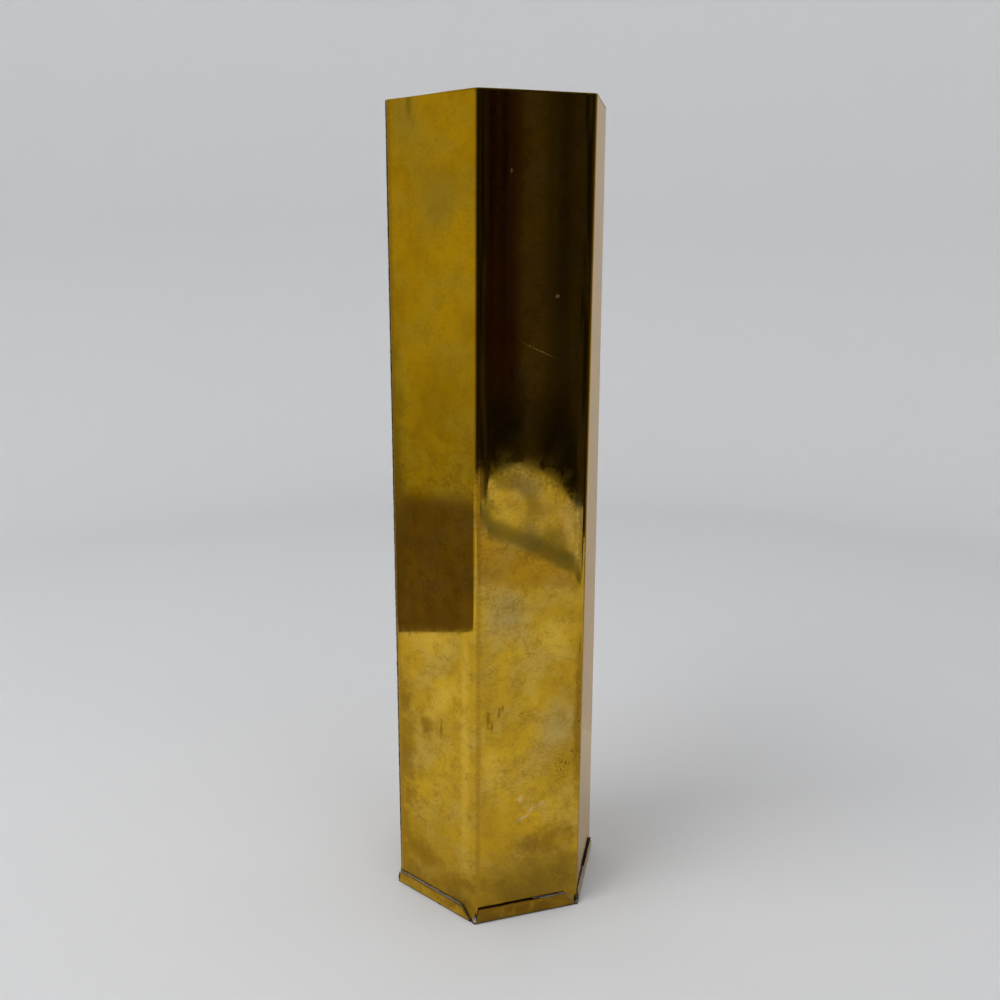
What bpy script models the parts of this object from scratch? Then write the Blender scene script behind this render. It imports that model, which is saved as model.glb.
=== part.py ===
"""Six-sided brass umbrella stand: a tall open tube of folded sheet, soldered into a shallow folded tray.

Metres, +Z up. The origin is the middle of the tray's underside, on the floor. One flat side faces -Y, the
front, so two corners of the hexagon lie on the X axis. A side is named by where its face looks.
"""

import math

import bmesh
import bpy
from mathutils import Matrix, Vector

# Driving dimensions
HEIGHT = 0.545  # floor to rim
BODY_ACROSS_FLATS = 0.131  # outside of the tube
SHEET = 0.001  # thickness of all the brass sheet
BEND_RADIUS = 0.0035  # inside radius of the tube's folds
LAP_WIDTH = 0.009  # flange of the front sheet that lies behind the rear sheet
TAB_FIT = 0.0004  # between the tube and the tray's tabs, filled by sweated solder
TRAY_BEND = 0.0008  # outside radius under the tray's tabs
CLEARANCE = 0.0003  # kept between pieces that touch
SEAM_BEAD = 0.0004  # radius of the solder bead down each seam
TAB_BEAD = 0.00035  # radius of the solder bead along a tab's top
CORNER_SOLDER = (0.0008, 0.0009, 0.0038)  # half sizes of a corner fill: outward, sideways, upright

BEND_STEPS = 8  # flat steps in each fold of the tube
TRAY_BEND_STEPS = 3
BEAD_ROUNDNESS = 1  # bevel resolution of the long beads
DROP_SEGMENTS = 12
DROP_RINGS = 8

# Worked out from them
OUTER = BODY_ACROSS_FLATS / 2  # centre to the tube's outside, square to a side
MIDDLE = OUTER - SHEET / 2  # centre to the middle of the sheet
LAP_STEP = SHEET + CLEARANCE  # how far the flange lies inside the rear sheet
BEND_MIDDLE = BEND_RADIUS + SHEET / 2
CORNER_SETBACK = (BEND_RADIUS + SHEET) * math.tan(math.radians(30))  # sharp corner to where its bend starts
TRAY_OUTER = OUTER + TAB_FIT + SHEET
BODY_BOTTOM = SHEET + CLEARANCE

# The direction that each side faces, in degrees
SIDES = {
    "front": -90,
    "right_front": -30,
    "right_rear": 30,
    "rear": 90,
    "left_rear": 150,
    "left_front": 210,
}
# The direction of each corner, in degrees
CORNERS = {
    "front_right": -60,
    "right": 0,
    "rear_right": 60,
    "rear_left": 120,
    "left": 180,
    "front_left": 240,
}
# The tabs are cut by hand, so no two are alike. For each side: the height of the tab's top above the
# floor, how far its ends stop short of the sharp corners (left foot, left top, right top, right foot,
# as seen from outside), and the stretch of its top that has a solder bead, as shares of its length
# from the left.
TABS = {
    "front": (0.0114, (0.0015, 0.0032, 0.0104, 0.0034), (0.62, 0.98)),
    "right_front": (0.0110, (0.0018, 0.0040, 0.0062, 0.0022), (0.04, 0.40)),
    "right_rear": (0.0106, (0.0016, 0.0036, 0.0094, 0.0030), (0.03, 0.97)),
    "rear": (0.0112, (0.0020, 0.0042, 0.0108, 0.0036), (0.05, 0.72)),
    "left_rear": (0.0104, (0.0016, 0.0034, 0.0098, 0.0032), (0.03, 0.97)),
    "left_front": (0.0100, (0.0015, 0.0034, 0.0126, 0.0048), (0.02, 0.98)),
}

BRASS = ((0.62, 0.43, 0.10, 1.0), 1.0, 0.22)
TRAY_BRASS = ((0.56, 0.38, 0.10, 1.0), 1.0, 0.30)
SOLDER = ((0.42, 0.41, 0.38, 1.0), 1.0, 0.45)


def clear_scene():
    for old in list(bpy.data.objects):
        bpy.data.objects.remove(old, do_unlink=True)


def new_collection(name):
    collection = bpy.data.collections.new(name)
    bpy.context.scene.collection.children.link(collection)
    return collection


def new_material(name, look):
    color, metallic, roughness = look
    material = bpy.data.materials.new(name)
    material.use_nodes = True
    shader = material.node_tree.nodes["Principled BSDF"]
    shader.inputs["Base Color"].default_value = color
    shader.inputs["Metallic"].default_value = metallic
    shader.inputs["Roughness"].default_value = roughness
    return material


def add_object(name, data, material, collection):
    data.materials.append(material)
    made = bpy.data.objects.new(name, data)
    collection.objects.link(made)
    return made


def mesh_from(bm, name):
    bmesh.ops.recalc_face_normals(bm, faces=bm.faces)
    mesh = bpy.data.meshes.new(name)
    bm.to_mesh(mesh)
    bm.free()
    return mesh


def outward(degrees):
    angle = math.radians(degrees)
    return Vector((math.cos(angle), math.sin(angle), 0.0))


def rightward(degrees):
    """Along a side, to the right of someone who looks at it from outside."""
    return outward(degrees + 90)


def planes_meet(side, distance, next_side, next_distance):
    """The point where two neighbouring upright planes cross, each at its own distance from the centre."""
    first = outward(side)
    second = outward(next_side)
    cosine = first.dot(second)
    spread = 1.0 - cosine * cosine
    along_first = (distance - next_distance * cosine) / spread
    along_second = (next_distance - distance * cosine) / spread
    return first * along_first + second * along_second


def bend_points(before, corner, after, radius):
    """The arc that rounds a corner of a sheet's middle line."""
    to_before = (before - corner).normalized()
    to_after = (after - corner).normalized()
    half_angle = to_before.angle(to_after) / 2
    centre = corner + (to_before + to_after).normalized() * radius / math.sin(half_angle)
    tangent = radius / math.tan(half_angle)
    start = corner + to_before * tangent - centre
    end = corner + to_after * tangent - centre
    shares = [step / BEND_STEPS for step in range(BEND_STEPS + 1)]
    return [centre + start.slerp(end, share).normalized() * radius for share in shares]


def folded_sheet(name, corners, material, collection):
    """Sheet that stands upright along a line with a bend at each inner corner."""
    line = [corners[0]]
    for before, corner, after in zip(corners, corners[1:], corners[2:]):
        line += bend_points(before, corner, after, BEND_MIDDLE)
    line.append(corners[-1])
    bm = bmesh.new()
    feet = [bm.verts.new(point + Vector((0, 0, BODY_BOTTOM))) for point in line]
    edges = [bm.edges.new(pair) for pair in zip(feet, feet[1:])]
    raised = bmesh.ops.extrude_edge_only(bm, edges=edges)["geom"]
    tops = [item for item in raised if isinstance(item, bmesh.types.BMVert)]
    bmesh.ops.translate(bm, verts=tops, vec=(0, 0, HEIGHT - BODY_BOTTOM))
    sheet = add_object(name, mesh_from(bm, name), material, collection)
    solidify = sheet.modifiers.new("sheet_thickness", "SOLIDIFY")
    solidify.thickness = SHEET
    solidify.offset = 0.0
    solidify.use_even_offset = True
    return sheet


def front_body_sheet(material, collection):
    """Three faces, and at each end a flange that turns round the side corner, inside the rear sheet."""
    ring = [
        (SIDES["right_rear"], MIDDLE - LAP_STEP),
        (SIDES["right_front"], MIDDLE),
        (SIDES["front"], MIDDLE),
        (SIDES["left_front"] - 360, MIDDLE),
        (SIDES["left_rear"] - 360, MIDDLE - LAP_STEP),
    ]
    corners = [planes_meet(*here, *there) for here, there in zip(ring, ring[1:])]
    flange = LAP_WIDTH + BEND_MIDDLE * math.tan(math.radians(30))
    right_end = corners[0] + rightward(SIDES["right_rear"]) * flange
    left_end = corners[-1] - rightward(SIDES["left_rear"]) * flange
    return folded_sheet("front_body_sheet", [right_end, *corners, left_end], material, collection)


def rear_body_sheet(material, collection):
    """Three faces that end just short of the side corners, over the front sheet's flanges."""
    ring = [SIDES["right_front"], SIDES["right_rear"], SIDES["rear"], SIDES["left_rear"], SIDES["left_front"]]
    corners = [planes_meet(here, MIDDLE, there, MIDDLE) for here, there in zip(ring, ring[1:])]
    corners[0] += rightward(SIDES["right_rear"]) * CORNER_SETBACK
    corners[-1] -= rightward(SIDES["left_rear"]) * CORNER_SETBACK
    return folded_sheet("rear_body_sheet", corners, material, collection)


def straight_bead(name, start, end, radius, material, collection):
    """A round bead of solder between two points."""
    curve = bpy.data.curves.new(name, "CURVE")
    curve.dimensions = "3D"
    curve.bevel_depth = radius
    curve.bevel_resolution = BEAD_ROUNDNESS
    curve.use_fill_caps = True
    spline = curve.splines.new("POLY")
    spline.points.add(1)
    for point, place in zip(spline.points, (start, end)):
        point.co = (*place, 1.0)
    return add_object(name, curve, material, collection)


def seam_solder(name, side, towards_corner, material, collection):
    """Fills the groove between the rear sheet's edge and the front sheet's flange, from tab to rim."""
    to_edge = MIDDLE * math.tan(math.radians(30)) - CORNER_SETBACK
    middle = to_edge + CLEARANCE + SEAM_BEAD
    depth = OUTER - LAP_STEP + CLEARANCE + SEAM_BEAD
    place = outward(side) * depth + rightward(side) * towards_corner * middle
    low = place + Vector((0, 0, max(height for height, _, _ in TABS.values()) + CLEARANCE))
    high = place + Vector((0, 0, HEIGHT - CLEARANCE))
    return straight_bead(name, low, high, SEAM_BEAD, material, collection)


def plate(bm):
    """The tray's flat six-sided floor, with a rounded lower edge."""
    upright = Matrix.Rotation(math.radians(30), 4, "Z") @ Matrix.Translation((0, 0, SHEET / 2))
    radius = TRAY_OUTER / math.cos(math.radians(30))
    bmesh.ops.create_cone(
        bm, cap_ends=True, segments=6, radius1=radius, radius2=radius, depth=SHEET, matrix=upright
    )
    lower = [edge for edge in bm.edges if all(vert.co.z < SHEET / 2 for vert in edge.verts)]
    bmesh.ops.bevel(
        bm, geom=lower, offset=TRAY_BEND, segments=TRAY_BEND_STEPS, profile=0.5, affect="EDGES"
    )


def tab_strip(bm, side, left_foot, right_foot):
    """Cuts the plate's rim at both ends of a side's tab, and returns the face between the cuts."""
    half_side = TRAY_OUTER * math.tan(math.radians(30))
    along = rightward(side)
    for end in (left_foot - half_side, half_side - right_foot):
        rim = [face for face in bm.faces if is_rim(face, side)]
        edges = {edge for face in rim for edge in face.edges}
        verts = {vert for face in rim for vert in face.verts}
        bmesh.ops.bisect_plane(
            bm, geom=[*rim, *edges, *verts], plane_co=along * end, plane_no=along, dist=1e-7
        )
    rim = [face for face in bm.faces if is_rim(face, side)]
    return min(rim, key=lambda face: abs(face.calc_center_median().dot(along)))


def is_rim(face, side):
    """Whether a face is part of the plate's upper rim along that side."""
    centre = face.calc_center_median()
    distance = centre.dot(outward(side))
    return face.normal.z > 0.9 and centre.z > SHEET / 2 and distance > TRAY_OUTER - SHEET


def raise_tab(bm, side, height, cuts):
    """Raises one side's tab out of the plate and slants its ends."""
    left_foot, left_top, right_top, right_foot = cuts
    strip = tab_strip(bm, side, left_foot, right_foot)
    raised = bmesh.ops.extrude_discrete_faces(bm, faces=[strip])["faces"][0]
    for vert in raised.verts:
        on_the_right = vert.co.dot(rightward(side)) > 0
        slant = right_foot - right_top if on_the_right else left_top - left_foot
        vert.co += rightward(side) * slant
        vert.co.z = height


def base_tray(material, collection):
    """One sheet: a floor with six hand-cut tabs folded up outside the tube."""
    bm = bmesh.new()
    plate(bm)
    bm.faces.ensure_lookup_table()
    top = max(bm.faces, key=lambda face: face.calc_center_median().z)
    bmesh.ops.inset_region(bm, faces=[top], thickness=SHEET, use_even_offset=True)
    bm.normal_update()
    for name, (height, cuts, _) in TABS.items():
        raise_tab(bm, SIDES[name], height, cuts)
        bm.normal_update()
    return add_object("base_tray", mesh_from(bm, "base_tray"), material, collection)


def tab_solder(name, material, collection):
    """The bead along the top of one tab, against the tube."""
    height, (_, left_top, right_top, _), (start, end) = TABS[name]
    side = SIDES[name]
    half_side = TRAY_OUTER * math.tan(math.radians(30))
    left = left_top - half_side
    length = 2 * half_side - left_top - right_top
    line = outward(side) * (OUTER + CLEARANCE + TAB_BEAD)
    line.z = height + CLEARANCE + TAB_BEAD
    places = [line + rightward(side) * (left + length * share) for share in (start, end)]
    return straight_bead(f"tab_solder_{name}", *places, TAB_BEAD, material, collection)


def corner_solder(name, material, collection):
    """The drop of solder that closes the tray between two tabs."""
    direction = CORNERS[name]
    half_out, half_side, half_up = CORNER_SOLDER
    tip = TRAY_OUTER / math.cos(math.radians(30))
    bm = bmesh.new()
    bmesh.ops.create_uvsphere(bm, u_segments=DROP_SEGMENTS, v_segments=DROP_RINGS, radius=1.0)
    bmesh.ops.scale(bm, verts=bm.verts, vec=(half_out, half_side, half_up))
    node = f"corner_solder_{name}"
    drop = add_object(node, mesh_from(bm, node), material, collection)
    drop.location = outward(direction) * (tip - CLEARANCE - half_out)
    drop.location.z = SHEET + CLEARANCE + half_up
    drop.rotation_euler.z = math.radians(direction)
    drop.data.shade_smooth()
    return drop


def build():
    clear_scene()
    collection = new_collection("umbrella_stand")
    brass = new_material("brass_body", BRASS)
    tray_brass = new_material("brass_tray", TRAY_BRASS)
    solder = new_material("solder", SOLDER)
    front_body_sheet(brass, collection)
    rear_body_sheet(brass, collection)
    seam_solder("seam_solder_right", SIDES["right_rear"], -1, solder, collection)
    seam_solder("seam_solder_left", SIDES["left_rear"], 1, solder, collection)
    base_tray(tray_brass, collection)
    for name in TABS:
        tab_solder(name, solder, collection)
    for name in CORNERS:
        corner_solder(name, solder, collection)


build()
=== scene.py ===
"""Looks for the six-sided brass umbrella stand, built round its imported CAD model.

Metres, +Z up, in the CAD's own frame: the origin is the middle of the tray's underside and one flat
side faces -Y. Every CAD node gets a finer piece: wavering sheet with softened edges, hand-cut tabs and
uneven solder.
"""

import math

import bmesh
import bpy
from mathutils import Matrix, Vector, noise


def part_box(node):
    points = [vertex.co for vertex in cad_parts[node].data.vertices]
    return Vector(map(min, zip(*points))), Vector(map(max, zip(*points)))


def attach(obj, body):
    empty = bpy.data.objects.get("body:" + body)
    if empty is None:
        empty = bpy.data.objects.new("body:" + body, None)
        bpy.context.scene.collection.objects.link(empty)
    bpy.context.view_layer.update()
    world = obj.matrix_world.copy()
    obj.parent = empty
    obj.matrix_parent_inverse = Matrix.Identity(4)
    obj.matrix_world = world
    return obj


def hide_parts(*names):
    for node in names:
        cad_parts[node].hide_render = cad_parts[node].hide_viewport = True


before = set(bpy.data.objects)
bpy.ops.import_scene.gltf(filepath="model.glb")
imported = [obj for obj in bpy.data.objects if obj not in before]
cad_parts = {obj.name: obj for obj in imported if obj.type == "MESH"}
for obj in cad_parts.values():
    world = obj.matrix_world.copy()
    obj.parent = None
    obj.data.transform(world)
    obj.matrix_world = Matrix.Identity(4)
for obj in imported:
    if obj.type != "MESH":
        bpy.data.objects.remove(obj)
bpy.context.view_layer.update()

# The object's sizes, as the CAD has them
SHEET = 0.001
BEND_MIDDLE = 0.004  # radius of the folds, to the middle of the sheet
LAP_WIDTH = 0.009
LAP_STEP = 0.0013
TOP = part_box("front_body_sheet")[1].z
BODY_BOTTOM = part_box("front_body_sheet")[0].z
OUTER = -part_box("front_body_sheet")[0].y  # centre to the tube's outside, square to a side
MIDDLE = OUTER - SHEET / 2
TRAY_OUTER = -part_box("base_tray")[0].y
SIXTH = math.radians(60)
TAN_30 = math.tan(SIXTH / 2)
EDGE_SETBACK = (BEND_MIDDLE + SHEET / 2) * TAN_30

SIDES = {
    "front": -90,
    "right_front": -30,
    "right_rear": 30,
    "rear": 90,
    "left_rear": 150,
    "left_front": 210,
}
CORNERS = {
    "front_right": -60,
    "right": 0,
    "rear_right": 60,
    "rear_left": 120,
    "left": 180,
    "front_left": 240,
}

# Each side's tab: height, then how far from the side's sharp ends its foot and its top begin and stop
# (left foot, left top, right top, right foot, seen from outside), the share of it that solder has run over,
# how far the torch has browned it, which on the front tab is also painted shade, and how far solder is
# smeared over its face
TABS = {
    "front": (0.0114, (0.0015, 0.0032, 0.0104, 0.0034), (0.62, 0.98), 0.9, 0.0),
    "right_front": (0.0110, (0.0018, 0.0040, 0.0062, 0.0022), (0.04, 0.40), 0.1, 0.6),
    "right_rear": (0.0106, (0.0016, 0.0036, 0.0094, 0.0030), (0.03, 0.97), 0.4, 0.0),
    "rear": (0.0112, (0.0020, 0.0042, 0.0108, 0.0036), (0.05, 0.72), 0.6, 0.1),
    "left_rear": (0.0104, (0.0016, 0.0034, 0.0098, 0.0032), (0.03, 0.97), 0.3, 0.2),
    "left_front": (0.0100, (0.0015, 0.0034, 0.0126, 0.0048), (0.02, 0.98), 0.2, 0.0),
}
SMOKED_BEADS = {"front", "right_front", "rear"}
SMOKED_CORNERS = {"front_right", "rear_right", "left"}
TRAY_BEND_MIDDLE = 0.0009
TRAY_BEND_CENTRE = TRAY_OUTER - SHEET / 2 - TRAY_BEND_MIDDLE  # out from the tray's middle
TRAY_BEND_TOP = SHEET / 2 + TRAY_BEND_MIDDLE
TRAY_TIP_CUT = 0.0004  # how far the floor stops short of its sharp corners
TAB_ROWS = (0.25, 0.5, 0.72, 0.86, 0.94, 1.0)  # shares of a tab's height
TAB_STEP = 0.004

# The photograph's view: the camera stands on the stand's -Y side, turned round it
VIEW_TURN = -18.06
VIEW_DISTANCE = 0.7170
VIEW_HEIGHT = 0.4628
VIEW_AIM = -0.09
VIEW_PITCH = -13.98
VIEW_ROLL = 0.15
VIEW_LENS = 38.21
SENSOR = 36.0

# How far the finished tube strays from true
TWIST = 2.3  # degrees, from foot to rim: the most that keeps the rim inside the CAD's box
WAVER = 0.00005
WAVER_LENGTH = 0.075
RIM_DIP = 0.0014  # how much lower the rim was cut at the left corner
CUT_WAVER = 0.035  # share of a tab's height by which its cut edge wavers
CUT_WAVER_LENGTH = 0.008
TAB_LEAN = 0.00013
TAB_LEAN_LENGTH = 0.02
TIN_FADE = 0.06  # share of a side over which the solder on a tab's edge fades away
BEAD_LUMP_LENGTH = 0.006
BEAD_WANDER_LENGTH = 0.011

# A corner's drop of solder: half its size out, along and up, and how far in and down from the middle of the
# CAD's it sits
DROP_OUT = 0.00085
DROP_ALONG = 0.0014
DROP_UP = 0.0034
DROP_IN = 0.00025
DROP_DOWN = 0.0011

# How finely the sheets are divided
BEND_STEPS = 10
FLAT_STEP = 0.006
LEVEL_STEP = 0.009
BEAD_POINTS = 10


# ---------------------------------------------------------------- shapes


def outward(degrees):
    angle = math.radians(degrees)
    return Vector((math.cos(angle), math.sin(angle), 0.0))


def rightward(degrees):
    """Along a side, to the right of someone who looks at it from outside."""
    return outward(degrees + 90)


def planes_meet(side, distance, next_side, next_distance):
    """The point where two neighbouring upright planes cross, each at its own distance from the centre."""
    first = outward(side)
    second = outward(next_side)
    cosine = first.dot(second)
    spread = 1.0 - cosine * cosine
    along_first = (distance - next_distance * cosine) / spread
    along_second = (next_distance - distance * cosine) / spread
    return first * along_first + second * along_second


def bend_points(before, corner, after):
    """The arc that rounds a corner of the sheet's middle line."""
    to_before = (before - corner).normalized()
    to_after = (after - corner).normalized()
    half_angle = to_before.angle(to_after) / 2
    centre = corner + (to_before + to_after).normalized() * BEND_MIDDLE / math.sin(half_angle)
    tangent = BEND_MIDDLE / math.tan(half_angle)
    start = corner + to_before * tangent - centre
    end = corner + to_after * tangent - centre
    shares = [step / BEND_STEPS for step in range(BEND_STEPS + 1)]
    return [centre + start.slerp(end, share).normalized() * BEND_MIDDLE for share in shares]


def sheet_line(corners):
    """The sheet's middle line: points with their distances along it, and the distances of the folds."""
    stops = [[corners[0]]]
    stops += [bend_points(*three) for three in zip(corners, corners[1:], corners[2:])]
    stops.append([corners[-1]])
    points = []
    fold_indexes = []
    for bend, next_bend in zip(stops, stops[1:]):
        if len(bend) > 1:
            fold_indexes.append(len(points) + len(bend) // 2)
        points += bend
        start, end = bend[-1], next_bend[0]
        steps = max(1, round((end - start).length / FLAT_STEP))
        points += [start.lerp(end, step / steps) for step in range(1, steps)]
    points += stops[-1]
    distances = [0.0]
    for point, next_point in zip(points, points[1:]):
        distances.append(distances[-1] + (next_point - point).length)
    return points, distances, [distances[index] for index in fold_indexes]


def waver(place):
    """How far the sheet stands out of true at a place."""
    return WAVER * noise.noise(place / WAVER_LENGTH)


def twisted(place):
    """The tube was soldered up slightly out of true: it turns as it rises."""
    share = (place.z - BODY_BOTTOM) / (TOP - BODY_BOTTOM)
    return Matrix.Rotation(math.radians(TWIST * share), 3, "Z") @ place


def new_piece(name, bm, recalculate=True):
    mesh = bpy.data.meshes.new(name)
    if recalculate:
        bmesh.ops.recalc_face_normals(bm, faces=bm.faces)
    bm.to_mesh(mesh)
    bm.free()
    mesh.shade_smooth()
    piece = bpy.data.objects.new(name, mesh)
    bpy.context.scene.collection.objects.link(piece)
    return piece


def thicken(piece):
    """Gives a surface the sheet's thickness, half to each side, with the inside in the second material."""
    solidify = piece.modifiers.new("sheet_thickness", "SOLIDIFY")
    solidify.thickness = SHEET
    solidify.offset = 0.0
    solidify.use_even_offset = True
    solidify.material_offset = 1


def soften_edges(piece, width, segments=2):
    bevel = piece.modifiers.new("softened_edges", "BEVEL")
    bevel.width = width
    bevel.segments = segments
    bevel.limit_method = "ANGLE"
    bevel.angle_limit = math.radians(35)
    bevel.harden_normals = True


def tab_top(point, out):
    """How high the tray's tab stands in front of a point of the tube that faces the same way as out."""
    name = max(SIDES, key=lambda side: outward(SIDES[side]).dot(out))
    height, (left_foot, left_top, right_top, right_foot) = TABS[name][:2]
    half = TRAY_OUTER * TAN_30
    from_left = half + point.dot(rightward(SIDES[name]))
    from_right = 2 * half - from_left
    left_share = (from_left - left_foot) / (left_top - left_foot)
    right_share = (from_right - right_foot) / (right_top - right_foot)
    return height * max(0.0, min(1.0, left_share, right_share))


def rim_height(place):
    """How high the rim is above a place: it was cut a little low at the left corner."""
    towards_left = max(0.0, place.to_2d().normalized().dot(outward(CORNERS["left"]).to_2d()))
    return TOP - RIM_DIP * towards_left**3


def facings(points):
    """Which way the sheet's outside faces at each point of its line."""
    line = [points[0], *points, points[-1]]
    outs = []
    for before, after in zip(line, line[2:]):
        along = (after - before).normalized()
        outs.append(Vector((along.y, -along.x, 0.0)))
    return outs


def body_sheet(name, corners, flat_start):
    """One folded sheet of the tube: a fine upright grid along its line, thickened, with broken edges.

    Its UV map is the flat sheet, in metres, with flat_start at the second fold. Each point keeps its distance
    from the nearest fold, and the height of the tab below it.
    """
    points, distances, folds = sheet_line(corners)
    outs = facings(points)
    levels = round((TOP - BODY_BOTTOM) / LEVEL_STEP)
    bm = bmesh.new()
    from_fold = bm.verts.layers.float.new("from_fold")
    fold_side = bm.verts.layers.float.new("fold_side")
    tab_below = bm.verts.layers.float.new("tab_below")
    flat = bm.loops.layers.uv.new("flat_sheet")
    places = {}
    rows = []
    for level in range(levels + 1):
        row = []
        for point, out, distance in zip(points, outs, distances):
            height = BODY_BOTTOM + (rim_height(point) - BODY_BOTTOM) * level / levels
            place = Vector((point.x, point.y, height))
            vert = bm.verts.new(twisted(place + out * waver(place)))
            nearest = min(folds, key=lambda fold: abs(fold - distance))
            vert[from_fold] = abs(distance - nearest)
            vert[fold_side] = 1.0 if distance > nearest else -1.0
            vert[tab_below] = tab_top(point, out)
            places[vert] = (distance - folds[1] + flat_start, height)
            row.append(vert)
        rows.append(row)
    for low, high in zip(rows, rows[1:]):
        for corners_of_face in zip(low, low[1:], high[1:], high):
            bm.faces.new(corners_of_face)
    for face in bm.faces:
        for loop in face.loops:
            loop[flat].uv = places[loop.vert]
    piece = new_piece(name, bm, recalculate=False)
    thicken(piece)
    soften_edges(piece, 0.00022)
    return piece


def front_body():
    ring = [
        (SIDES["left_rear"] - 360, MIDDLE - LAP_STEP),
        (SIDES["left_front"] - 360, MIDDLE),
        (SIDES["front"], MIDDLE),
        (SIDES["right_front"], MIDDLE),
        (SIDES["right_rear"], MIDDLE - LAP_STEP),
    ]
    corners = [planes_meet(*here, *there) for here, there in zip(ring, ring[1:])]
    flange = LAP_WIDTH + BEND_MIDDLE * TAN_30
    left_end = corners[0] - rightward(SIDES["left_rear"]) * flange
    right_end = corners[-1] + rightward(SIDES["right_rear"]) * flange
    return body_sheet("front_body", [left_end, *corners, right_end], 0.0)


def rear_body():
    ring = [SIDES["right_front"], SIDES["right_rear"], SIDES["rear"], SIDES["left_rear"], SIDES["left_front"]]
    corners = [planes_meet(here, MIDDLE, there, MIDDLE) for here, there in zip(ring, ring[1:])]
    corners[0] += rightward(SIDES["right_rear"]) * EDGE_SETBACK
    corners[-1] -= rightward(SIDES["left_rear"]) * EDGE_SETBACK
    return body_sheet("rear_body", corners, 0.6)


def tab_columns(name):
    """Where one tab's columns stand along its side, and how much of the tab's height each has."""
    half = TRAY_OUTER * TAN_30
    left_foot, left_top, right_top, right_foot = TABS[name][1]
    foot_start, top_start = left_foot - half, left_top - half
    top_end, foot_end = half - right_top, half - right_foot
    steps = round((top_end - top_start) / TAB_STEP)
    columns = [(foot_start, 0.06), ((foot_start + top_start) / 2, 0.53)]
    columns += [(top_start + (top_end - top_start) * step / steps, 1.0) for step in range(steps + 1)]
    slant = foot_end - top_end
    columns += [(top_end + slant * share, 1.0 - share) for share in (0.33, 0.66)]
    columns.append((foot_end, 0.06))
    return columns


def column_points(degrees, along, top):
    """One column of a tab: places with their heights, round the fold and up to the cut edge."""
    out = outward(degrees)
    flat_place = rightward(degrees) * along
    points = []
    for step in range(5):
        angle = math.radians(90 * step / 4)
        reach = TRAY_BEND_CENTRE + TRAY_BEND_MIDDLE * math.sin(angle)
        points.append((flat_place + out * reach, TRAY_BEND_TOP - TRAY_BEND_MIDDLE * math.cos(angle)))
    lean = TAB_LEAN * (noise.noise(Vector((along / TAB_LEAN_LENGTH, degrees, 5.0))) - 0.7)
    for row in TAB_ROWS:
        reach = TRAY_OUTER - SHEET / 2 + lean * row
        points.append((flat_place + out * reach, TRAY_BEND_TOP + (top - TRAY_BEND_TOP) * row))
    return points


def add_tab(bm, name):
    """One side's tab; gives the points along its foot.

    Each point keeps its distance from the cut edge above it, and the side's tin, torch browning (partly
    painted shade) and smeared solder.
    """
    layers = bm.verts.layers.float
    height, _, (bead_start, bead_end), smoke_and_shade, smear = TABS[name]
    half = TRAY_OUTER * TAN_30
    columns = []
    for along, share in tab_columns(name):
        uneven = 1.0 + CUT_WAVER * noise.noise(Vector((along / CUT_WAVER_LENGTH, SIDES[name], 0.0)))
        top = TRAY_BEND_TOP + (height - TRAY_BEND_TOP) * share * min(1.0, uneven - 0.01)
        share_along = (along + half) / (2 * half)
        run = min(share_along - bead_start, bead_end - share_along)
        verts = []
        for place, up in column_points(SIDES[name], along, top):
            vert = bm.verts.new((place.x, place.y, up))
            vert[layers["from_cut"]] = top - up
            vert[layers["tinned"]] = min(1.0, max(0.0, 0.5 + run / TIN_FADE))
            vert[layers["smoky_and_shaded"]] = smoke_and_shade
            vert[layers["smeared"]] = smear
            verts.append(vert)
        columns.append(verts)
    for left, right in zip(columns, columns[1:]):
        for corners_of_face in zip(left, right, right[1:], left[1:]):
            bm.faces.new(corners_of_face)
    return [column[0] for column in columns]


def tray():
    """The tray: a six-sided floor whose hand-cut tabs turn up round the tube."""
    bm = bmesh.new()
    for kept in ("from_cut", "tinned", "smoky_and_shaded", "smeared"):
        bm.verts.layers.float.new(kept)
    floor_edge = []
    for name, degrees in SIDES.items():
        floor_edge += add_tab(bm, name)
        tip = outward(degrees + 30) * (TRAY_OUTER / math.cos(SIXTH / 2) - TRAY_TIP_CUT)
        floor_edge.append(bm.verts.new((tip.x, tip.y, SHEET / 2)))
    bm.faces.new(list(reversed(floor_edge)))
    piece = new_piece("tray", bm, recalculate=False)
    thicken(piece)
    soften_edges(piece, 0.00018, segments=3)
    return piece


def bead(name, start, end, across, rise, half_across, half_rise, rings, rough):
    """An uneven run of solder from start to end, whose section is an ellipse."""
    bm = bmesh.new()
    loops = []
    for ring in range(rings + 1):
        share = ring / rings
        middle = start.lerp(end, share)
        taper = min(1.0, 12 * min(share, 1 - share) + 0.25)
        swell = taper * (1 + rough * noise.noise(middle / BEAD_LUMP_LENGTH + Vector((3.1, 0, 0))))
        shift = 0.25 * rough * noise.noise(middle / BEAD_WANDER_LENGTH + Vector((0, 7.7, 0)))
        loop = []
        for point in range(BEAD_POINTS):
            angle = 2 * math.pi * point / BEAD_POINTS
            side = across * (math.cos(angle) * swell + shift) * half_across
            up = rise * math.sin(angle) * swell * half_rise
            loop.append(bm.verts.new(middle + side + up))
        loops.append(loop)
    for low, high in zip(loops, loops[1:]):
        for index in range(BEAD_POINTS):
            after = (index + 1) % BEAD_POINTS
            bm.faces.new((low[index], low[after], high[after], high[index]))
    bm.faces.new(loops[0])
    bm.faces.new(loops[-1])
    return new_piece(name, bm)


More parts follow.
